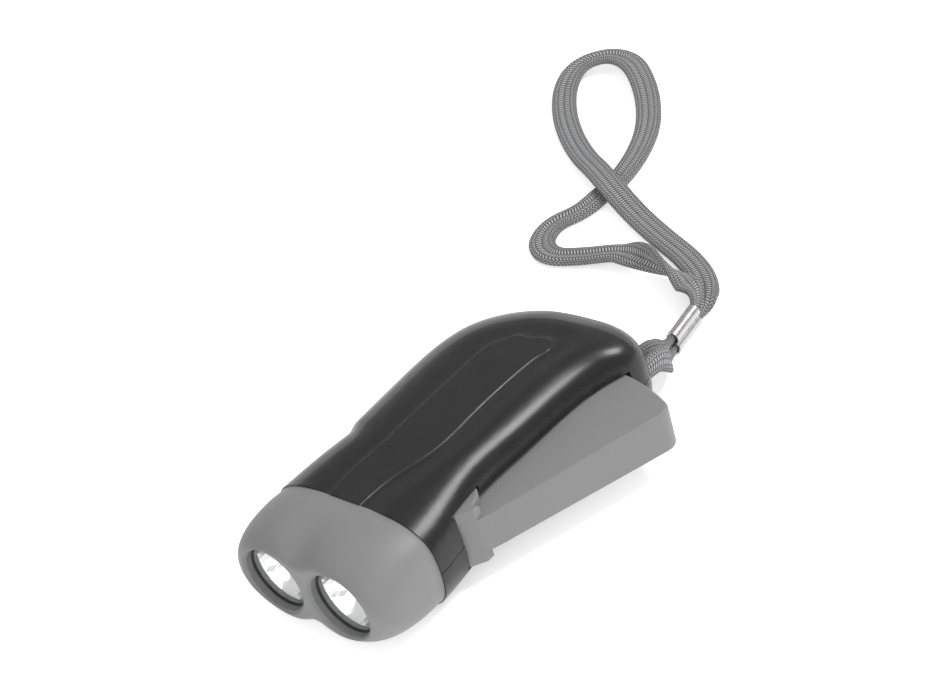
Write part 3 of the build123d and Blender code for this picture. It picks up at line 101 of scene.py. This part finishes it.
# Reflectors
CUP_RINGS = 7
CUP_FACETS = 30
CUP_DEPTH = 6.3 * MM
CUP_LIP = 0.4 * MM
CUP_WALL = 0.2 * MM
RIM_THICKNESS = 1.0 * MM
NECK_WALL = 0.6 * MM
NECK_SHOULDER = 0.8 * MM

TABLE_HALF = 6.0


# ---------------------------------------------------------------- material tools

class Shader:
    """Node material with a Principled shader and short helpers for its textures."""

    def __init__(self, name, color, roughness, **sockets):
        self.material = bpy.data.materials.new(name)
        self.material.use_nodes = True
        self.nodes = self.material.node_tree.nodes
        self.links = self.material.node_tree.links
        self.shader = self.nodes["Principled BSDF"]
        self.color = color
        self.roughness = roughness
        self.set("Base Color", (*color, 1))
        self.set("Roughness", roughness)
        for socket, value in sockets.items():
            self.set(socket.replace("_", " "), value)

    def set(self, socket, value):
        self.shader.inputs[socket].default_value = value

    def node(self, kind, **inputs):
        made = self.nodes.new(kind)
        for socket, value in inputs.items():
            self.put(made.inputs[socket.replace("_", " ")], value)
        return made

    def put(self, socket, value):
        if isinstance(value, bpy.types.NodeSocket):
            self.links.new(value, socket)
        else:
            socket.default_value = value

    def math(self, operation, a, b=0.0, c=0.0):
        made = self.nodes.new("ShaderNodeMath")
        made.operation = operation
        for socket, value in zip(made.inputs, (a, b, c)):
            self.put(socket, value)
        return made.outputs[0]

    def place(self):
        return self.nodes.new("ShaderNodeTexCoord").outputs["Object"]

    def noise(self, scale, detail=3.0, vector=None):
        made = self.node("ShaderNodeTexNoise", Scale=scale, Detail=detail, Vector=vector or self.place())
        return made.outputs["Fac"]

    def ramp(self, value, low, high, at=(0.3, 0.7)):
        made = self.nodes.new("ShaderNodeMapRange")
        sockets = ("Value", "From Min", "From Max", "To Min", "To Max")
        for socket, amount in zip(sockets, (value, *at, low, high)):
            self.put(made.inputs[socket], amount)
        return made.outputs[0]

    def tint(self, value, spread):
        """Lets a texture vary the base colour between darker and lighter by a share."""
        made = self.nodes.new("ShaderNodeMix")
        made.data_type = "RGBA"
        self.put(made.inputs["Factor"], value)
        made.inputs[6].default_value = (*[c * (1 - spread) for c in self.color], 1)
        made.inputs[7].default_value = (*[min(1, c * (1 + spread)) for c in self.color], 1)
        self.links.new(made.outputs[2], self.shader.inputs["Base Color"])
        return self

    def gloss(self, value, spread):
        """Lets a texture vary the roughness by an amount."""
        varied = self.ramp(value, self.roughness - spread, self.roughness + spread)
        self.links.new(varied, self.shader.inputs["Roughness"])
        return self

    def bump(self, height, distance, strength=1.0):
        made = self.node("ShaderNodeBump", Height=height, Distance=distance, Strength=strength)
        self.links.new(made.outputs[0], self.shader.inputs["Normal"])
        return self


def smoky_plastic():
    """Glossy dark plastic that is a little see-through, with faint flow marks from moulding."""
    shade = Shader("smoky_plastic", (0.010, 0.010, 0.011), 0.30, IOR=1.47, Alpha=0.80)
    flow = shade.noise(38.0, 2.0)
    return shade.tint(flow, 0.35).gloss(shade.noise(60.0), 0.02).bump(flow, 0.00003).material


def grey_plastic():
    """Satin moulded plastic with a fine spark-eroded grain."""
    shade = Shader("grey_plastic", (0.185, 0.185, 0.188), 0.50, IOR=1.44)
    grain = shade.noise(2600.0, 2.0)
    cloud = shade.noise(45.0, 3.0)
    return shade.tint(cloud, 0.06).gloss(grain, 0.06).bump(grain, 0.00003).material


def clear_plastic():
    """Clear lens plastic with very fine scratches."""
    shade = Shader("clear_plastic", (0.9, 0.92, 0.92), 0.03, IOR=1.49, Alpha=0.10)
    return shade.bump(shade.noise(900.0, 2.0), 0.000004).material


def chrome():
    """Vacuum-metallised reflector with slight ripples."""
    shade = Shader("chrome", (0.95, 0.95, 0.96), 0.14, Metallic=1.0)
    ripple = shade.noise(420.0, 2.0)
    return shade.tint(ripple, 0.05).bump(ripple, 0.00005).material


def resin():
    """Clear epoxy of the lamps, pale from the die inside."""
    shade = Shader("resin", (0.78, 0.77, 0.70), 0.06, IOR=1.52, Alpha=0.55)
    return shade.tint(shade.noise(700.0), 0.08).bump(shade.noise(500.0), 0.00001).material


def rubber():
    shade = Shader("rubber", (0.02, 0.02, 0.021), 0.7)
    grain = shade.noise(1800.0)
    return shade.tint(grain, 0.2).bump(grain, 0.00004).material


def board():
    """Laminate with copper tracks that show as slightly raised paths."""
    shade = Shader("board", (0.05, 0.16, 0.08), 0.35)
    tracks = shade.node("ShaderNodeTexVoronoi", Scale=240.0, Vector=shade.place()).outputs["Distance"]
    return shade.tint(tracks, 0.4).bump(tracks, 0.00003).material


def metal(name, color, roughness, scratch=900.0):
    """Machined metal with fine turning marks."""
    shade = Shader(name, color, roughness, Metallic=1.0)
    marks = shade.noise(scratch, 4.0)
    return shade.tint(marks, 0.08).gloss(marks, 0.07).bump(marks, 0.00001).material


def nylon():
    shade = Shader("nylon", (0.72, 0.72, 0.69), 0.42, Subsurface_Weight=0.1)
    grain = shade.noise(1200.0)
    return shade.tint(shade.noise(150.0), 0.06).gloss(grain, 0.05).bump(grain, 0.00002).material


def black_component():
    shade = Shader("black_component", (0.018, 0.018, 0.02), 0.4)
    grain = shade.noise(1500.0)
    return shade.tint(grain, 0.3).bump(grain, 0.00003).material


def magnet():
    shade = Shader("magnet", (0.07, 0.07, 0.072), 0.6)
    grain = shade.noise(1100.0)
    return shade.tint(grain, 0.25).bump(grain, 0.00006).material


def laminated_steel():
    """Stack of thin steel sheets, whose edges show as lines across the height."""
    shade = Shader("laminated_steel", (0.3, 0.3, 0.31), 0.42, Metallic=1.0)
    height = shade.node("ShaderNodeSeparateXYZ", Vector=shade.place()).outputs["Z"]
    sheets = shade.math("SINE", shade.math("MULTIPLY", height, 2 * math.pi / SHEET_PITCH))
    return shade.tint(shade.noise(300.0), 0.15).bump(sheets, 0.00004).material


def winding():
    """Enamelled copper wire wound in fine turns about the coil's axis."""
    shade = Shader("winding", (0.55, 0.22, 0.10), 0.3, Metallic=1.0)
    along = shade.node("ShaderNodeSeparateXYZ", Vector=shade.place()).outputs["X"]
    turns = shade.math("SINE", shade.math("MULTIPLY", along, 2 * math.pi / WIRE_PITCH))
    return shade.tint(shade.noise(500.0), 0.12).bump(turns, 0.00005).material


def sleeve():
    shade = Shader("sleeve", (0.28, 0.03, 0.025), 0.4)
    grain = shade.noise(900.0)
    return shade.tint(grain, 0.15).bump(grain, 0.00003).material


def braid():
    """Flat tubular braid: columns of stitches that lean one way and then the other. Its colour carries
    painted shade in the hollows between stitches and a painted highlight on their crowns.
    """
    shade = Shader("braid", (0.29, 0.29, 0.295), 0.9, Specular_IOR_Level=0.3)
    plan = shade.node("ShaderNodeSeparateXYZ", Vector=shade.nodes.new("ShaderNodeUVMap").outputs[0])
    along = plan.outputs["X"]
    columns = plan.outputs["Y"]
    in_column = shade.math("FRACT", columns)
    lean = shade.math("PINGPONG", columns, 1.0)
    rows = shade.math("MULTIPLY", along, 1 / STITCH_LENGTH)
    pitch = shade.math("ADD", rows, shade.math("MULTIPLY", lean, STITCH_LEAN))
    stitch = shade.math("SINE", shade.math("MULTIPLY", pitch, 2 * math.pi))
    crown = shade.math("SINE", shade.math("MULTIPLY", in_column, math.pi))
    swell = shade.math("MULTIPLY_ADD", stitch, 0.5, 0.5)
    height = shade.math("MULTIPLY", swell, shade.math("POWER", crown, 0.6))
    yarn = shade.noise(5200.0, 2.0)
    relief_and_shade = shade.math("MULTIPLY_ADD", yarn, 0.25, height)
    # The colour follows the stitch relief. It is painted shade in the hollows, a painted highlight on the
    # crowns, and a random yarn tone from the fine noise.
    return shade.tint(shade.ramp(relief_and_shade, 0.0, 1.0, (0.1, 0.9)), 0.75).bump(relief_and_shade, 0.0006).material


MATERIALS = {
    "smoky_shell": smoky_plastic(),
    "grey_plastic": grey_plastic(),
    "clear_lens": clear_plastic(),
    "black_rubber": rubber(),
    "reflector_chrome": chrome(),
    "led_resin": resin(),
    "board_laminate": board(),
    "steel": metal("steel", (0.56, 0.56, 0.58), 0.28),
    "black_component": black_component(),
    "white_nylon": nylon(),
    "brass": metal("brass", (0.62, 0.46, 0.2), 0.3),
    "magnet": magnet(),
    "flywheel_metal": metal("flywheel_metal", (0.5, 0.5, 0.52), 0.34),
    "core_steel": laminated_steel(),
    "copper": winding(),
    "wire_sleeve": sleeve(),
    "ferrule_metal": metal("ferrule_metal", (0.46, 0.45, 0.45), 0.3),
    "braid": braid(),
}


def dress_nodes():
    """Gives each carried-over node the material of its slot."""
    for part in frame["record"]["subparts"]:
        piece = frame["nodes"].get(part["node"])
        if piece is None:
            continue
        piece.data.materials.clear()
        piece.data.materials.append(MATERIALS[part["material_slot"]])


def add_object(name, mesh):
    made = bpy.data.objects.new(name, mesh)
    bpy.context.scene.collection.objects.link(made)
    return made


# ---------------------------------------------------------------- strap

def mm(*points):
    return [Vector(point) * MM for point in points]


WRAP = mm((22.3, 41.4, 13.1), (24.5, 41.4, 13.1), (24.5, 51.6, 13.1), (23.2, 56.4, 8.7), (18.6, 60.4, 3.9))
LOWER_LOBE = mm((15.46, 64.74, 1.75), (12.64, 82.76, 1.75))
LOOP = mm(
    (10.6, 88.2, 2.4), (4.0, 96.0, 1.5), (-6.0, 102.6, 1.15), (-18.0, 107.8, 1.15),
    (-31.0, 113.8, 1.7), (-43.0, 119.8, 3.8), (-54.0, 126.6, 3.7), (-65.0, 133.4, 1.7),
    (-77.0, 142.4, 1.15), (-87.4, 152.6, 1.8), (-94.8, 163.6, 3.0), (-97.4, 174.0, 3.6),
    (-91.4, 181.2, 3.8), (-81.6, 180.0, 3.8), (-71.6, 172.2, 3.2), (-62.8, 162.8, 2.0),
    (-55.6, 152.2, 1.15), (-50.4, 139.6, 1.15), (-47.8, 127.2, 1.15), (-48.2, 118.0, 1.15),
    (-48.6, 110.5, 1.15), (-52.8, 103.0, 1.15), (-50.4, 94.0, 1.2), (-43.2, 89.6, 1.15),
    (-34.2, 93.0, 1.3), (-24.4, 96.0, 3.0), (-14.6, 95.4, 4.6), (-4.6, 93.2, 4.6), (4.8, 89.2, 4.9),
)
UPPER_LOBE = mm((12.64, 82.76, 4.75), (15.46, 64.74, 4.75))
UNWRAP = mm(
    (16.4, 60.8, 6.7), (18.8, 56.4, 9.7), (20.1, 51.6, 13.1), (20.1, 41.4, 13.1), (22.3, 41.4, 13.1)
)


def smooth_line(name, points):
    """Points along the NURBS line that the route's points control."""
    curve = bpy.data.curves.new(name, "CURVE")
    curve.dimensions = "3D"
    curve.resolution_u = CURVE_STEPS
    spline = curve.splines.new("NURBS")
    spline.points.add(len(points) - 1)
    for spot, point in zip(spline.points, points):
        spot.co = (*point, 1)
    spline.order_u = 3
    spline.use_endpoint_u = True
    guide = add_object(name, curve)
    bpy.context.view_layer.update()
    mesh = bpy.data.meshes.new_from_object(guide)
    line = [vertex.co.copy() for vertex in mesh.vertices]
    bpy.data.objects.remove(guide)
    bpy.data.meshes.remove(mesh)
    return line


def distances(line):
    run = [0.0]
    for a, b in zip(line, line[1:]):
        run.append(run[-1] + (b - a).length)
    return run


def between(stations, place):
    """Value at a place among stations of (place, value), in straight steps."""
    for (start, first), (finish, second) in zip(stations, stations[1:]):
        if place <= finish:
            return first + (second - first) * max(0.0, place - start) / max(finish - start, 1e-9)
    return stations[-1][1]


def nearest_run(line, run, point):
    """Distance along the line at its nearest place to a point."""
    return min(zip(line, run), key=lambda item: (item[0] - point).length)[1]


def braid_profile(width, thickness, groove):
    """Closed section of the flattened tube, with a groove along the middle of both faces."""
    points = []
    for k in range(SECTION_POINTS):
        angle = 2 * math.pi * k / SECTION_POINTS
        c, s = math.cos(angle), math.sin(angle)
        x = width / 2 * math.copysign(abs(c) ** SIDE_ROUNDING, c)
        z = thickness / 2 * math.copysign(abs(s) ** FACE_ROUNDING, s)
        if abs(s) > 0.5:
            z -= math.copysign(groove * math.exp(-((x / (GROOVE_SPREAD * width)) ** 2)), s)
        points.append((x, z))
    return points


def ferrule_places(line, run):
    """Distances along the line where the braid enters and leaves the ferrule, out and back."""
    half = len(line) // 2
    first = [nearest_run(line[:half], run, spot) for spot in LOWER_LOBE]
    last = [nearest_run(line[half:], run[half:], spot) for spot in UPPER_LOBE]
    return (first[0] + CRIMP_INSET, first[1] - CRIMP_INSET, last[0] + CRIMP_INSET, last[1] - CRIMP_INSET)


def braid_size(place, exits):
    """Width and thickness at a distance along the line, and how far the braid has spread."""
    if exits[0] < place < exits[3]:
        full_width, full_thickness = STRAP_WIDTH, STRAP_THICKNESS
    else:
        full_width, full_thickness = TETHER_WIDTH, TETHER_THICKNESS
    edges = exits[1:3] if exits[1] < place < exits[2] else (exits[0], exits[3])
    free = min(abs(place - edge) for edge in edges)
    in_ferrule = exits[0] <= place <= exits[1] or exits[2] <= place <= exits[3]
    spread = 0.0 if in_ferrule else min(1.0, free / GATHER_LENGTH)
    spread = spread * spread * (3 - 2 * spread)
    width = GATHERED_WIDTH + (full_width - GATHERED_WIDTH) * spread
    thickness = GATHERED_THICKNESS + (full_thickness - GATHERED_THICKNESS) * spread
    return width, thickness, spread


def strap_mesh(line, run):
    """Skin of the braid along its line. Its UV map runs in metres along and in columns across."""
    exits = ferrule_places(line, run)
    rolls = [
        (0, 90), (exits[1], 90), (exits[1] + FLATTEN_LENGTH, 0),
        (exits[2] - TWIST_START, 0), (exits[2] - TWIST_END, 180), (exits[2], 90), (run[-1], 90),
    ]
    mesh = bpy.data.meshes.new("strap")
    body = bmesh.new()
    uv = body.loops.layers.uv.new("weave")
    rings = []
    for k, point in enumerate(line):
        ahead = line[min(k + 1, len(line) - 1)]
        behind = line[max(k - 1, 0)]
        heading = (ahead - behind).normalized()
        width, thickness, spread = braid_size(run[k], exits)
        flat = Vector((0, 0, 1)).cross(heading).normalized()
        turn = Matrix.Rotation(math.radians(between(rolls, run[k])), 3, heading)
        across = turn @ flat
        up = heading.cross(across)
        section = braid_profile(width, thickness, GROOVE_DEPTH * spread)
        rings.append([body.verts.new(point + across * x + up * z) for x, z in section])
    for k, (a, b) in enumerate(zip(rings, rings[1:])):
        for j in range(SECTION_POINTS):
            after = (j + 1) % SECTION_POINTS
            face = body.faces.new((a[j], a[after], b[after], b[j]))
            face.smooth = True
            corners = [(run[k], j), (run[k], j + 1), (run[k + 1], j + 1), (run[k + 1], j)]
            for loop, (place, step) in zip(face.loops, corners):
                loop[uv].uv = (place, step / SECTION_POINTS * 2 * STITCH_COLUMNS)
    body.faces.new(list(reversed(rings[0])))
    body.faces.new(rings[-1])
    bmesh.ops.recalc_face_normals(body, faces=body.faces)
    body.to_mesh(mesh)
    body.free()
    return mesh


def strap():
    """One length of braid: round the bar, through the ferrule, round the loop and back."""
    line = smooth_line("strap_line", WRAP + LOWER_LOBE + LOOP + UPPER_LOBE + UNWRAP)
    run = distances(line)
    piece = add_object("strap", strap_mesh(line, run))
    piece.data.materials.append(MATERIALS["braid"])
    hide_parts("strap_tether", "wrist_strap")
    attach(piece, "casing")


# ---------------------------------------------------------------- reflectors

def facet_ring(body, centre, radius, y, shift=0.0):
    """Ring of corners about a lamp's axis, turned by a share of a facet."""
    made = []
    for k in range(CUP_FACETS):
        angle = 2 * math.pi * (k + shift) / CUP_FACETS
        spot = (centre.x + radius * math.cos(angle), y, centre.z + radius * math.sin(angle))
        made.append(body.verts.new(spot))
    return made


def reflector(side):
    """Faceted bright cup in place of the plain one, on the same rim and neck."""
    low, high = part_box("reflector_" + side)
    lamp_low, lamp_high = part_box("led_" + side)
    centre = (low + high) / 2
    rim = (high.x - low.x) / 2
    mouth = rim - CUP_LIP
    neck = (lamp_high.x - lamp_low.x) / 2
    last = 0.5 * CUP_RINGS
    mesh = bpy.data.meshes.new("facets_" + side)
    body = bmesh.new()
    rings = [facet_ring(body, centre, rim, low.y)]
    for k in range(CUP_RINGS + 1):
        radius = mouth + (neck - mouth) * (k / CUP_RINGS)
        fall = 1 - (radius**2 - neck**2) / (mouth**2 - neck**2)
        rings.append(facet_ring(body, centre, radius, low.y + CUP_DEPTH * fall, 0.5 * k))
    rings.append(facet_ring(body, centre, neck, high.y, last))
    rings.append(facet_ring(body, centre, neck + NECK_WALL, high.y, last))
    rings.append(facet_ring(body, centre, neck + NECK_WALL, low.y + CUP_DEPTH + NECK_SHOULDER, last))
    rings.append(facet_ring(body, centre, mouth + CUP_WALL, low.y + RIM_THICKNESS))
    rings.append(facet_ring(body, centre, rim, low.y + RIM_THICKNESS))
    for a, b in zip(rings, rings[1:] + rings[:1]):
        for j in range(CUP_FACETS):
            after = (j + 1) % CUP_FACETS
            body.faces.new((a[j], a[after], b[j]))
            body.faces.new((a[after], b[after], b[j]))
    bmesh.ops.recalc_face_normals(body, faces=body.faces)
    body.to_mesh(mesh)
    body.free()
    piece = add_object("facets_" + side, mesh)
    mesh.materials.append(MATERIALS["reflector_chrome"])
    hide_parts("reflector_" + side)
    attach(piece, "casing")


# ---------------------------------------------------------------- stage

def table():
    """White table top under the torch, faintly lit from within so that it stays pale."""
    mesh = bpy.data.meshes.new("table")
    half = TABLE_HALF
    corners = [(-half, -half, 0), (half, -half, 0), (half, half, 0), (-half, half, 0)]
    mesh.from_pydata(corners, [], [(0, 1, 2, 3)])
    piece = add_object("table", mesh)
    glow = {"Emission_Color": (1, 1, 1, 1), "Emission_Strength": 0.5}
    shade = Shader("table_top", (0.9, 0.9, 0.9), 0.9, **glow)
    shade.bump(shade.noise(200.0), 0.00002)
    mesh.materials.append(shade.material)


def softbox(name, place, aim, size, power):
    """Large soft area light that faces a point."""
    light = bpy.data.lights.new(name, "AREA")
    light.shape = "RECTANGLE"
    light.size, light.size_y = size
    light.energy = power
    lamp = bpy.data.objects.new(name, light)
    lamp.location = place
    lamp.rotation_euler = (Vector(aim) - Vector(place)).to_track_quat("-Z", "Y").to_euler()
    bpy.context.scene.collection.objects.link(lamp)


def world():
    sky = bpy.data.worlds.new("studio")
    sky.use_nodes = True
    background = sky.node_tree.nodes["Background"]
    background.inputs["Color"].default_value = (1, 1, 1, 1)
    background.inputs["Strength"].default_value = 0.62
    bpy.context.scene.world = sky


def camera():
    """Camera in the place that the photograph was taken from."""
    azimuth, elevation, roll = (math.radians(v) for v in (VIEW_AZIMUTH, VIEW_ELEVATION, VIEW_ROLL))
    reach = math.cos(elevation)
    forward = -Vector((math.sin(azimuth) * reach, -math.cos(azimuth) * reach, math.sin(elevation)))
    level = Vector((math.cos(azimuth), math.sin(azimuth), 0))
    upright = level.cross(forward)
    right = math.cos(roll) * level - math.sin(roll) * upright
    up = math.sin(roll) * level + math.cos(roll) * upright
    low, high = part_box("head_bezel")
    aim = Vector((0, low.y + 1 * MM, 13.1 * MM))
    aside = (AIM_PIXEL[0] - PHOTO_WIDTH / 2) / FOCAL_PIXELS
    below = (AIM_PIXEL[1] - PHOTO_HEIGHT / 2) / FOCAL_PIXELS
    place = aim - CAMERA_DISTANCE * (forward + aside * right - below * up)
    data = bpy.data.cameras.new("camera")
    data.sensor_width = SENSOR
    data.lens = FOCAL_PIXELS * SENSOR / PHOTO_WIDTH
    data.clip_start = 0.01
    data.clip_end = 50
    eye = bpy.data.objects.new("camera", data)
    turn = Matrix((right, up, -forward)).transposed()
    eye.matrix_world = Matrix.Translation(place) @ turn.to_4x4()
    bpy.context.scene.collection.objects.link(eye)
    bpy.context.scene.camera = eye


def studio():
    table()
    world()
    softbox("key", (0.30, 0.50, 0.72), (0, 0.02, 0), (0.35, 0.35), 6.5)
    softbox("fill", (0.5, -0.6, 0.45), (0, 0.0, 0.01), (0.7, 0.6), 2.6)
    bpy.context.scene.view_settings.view_transform = "Standard"


camera()
dress_nodes()
strap()
reflector("left")
reflector("right")
studio()
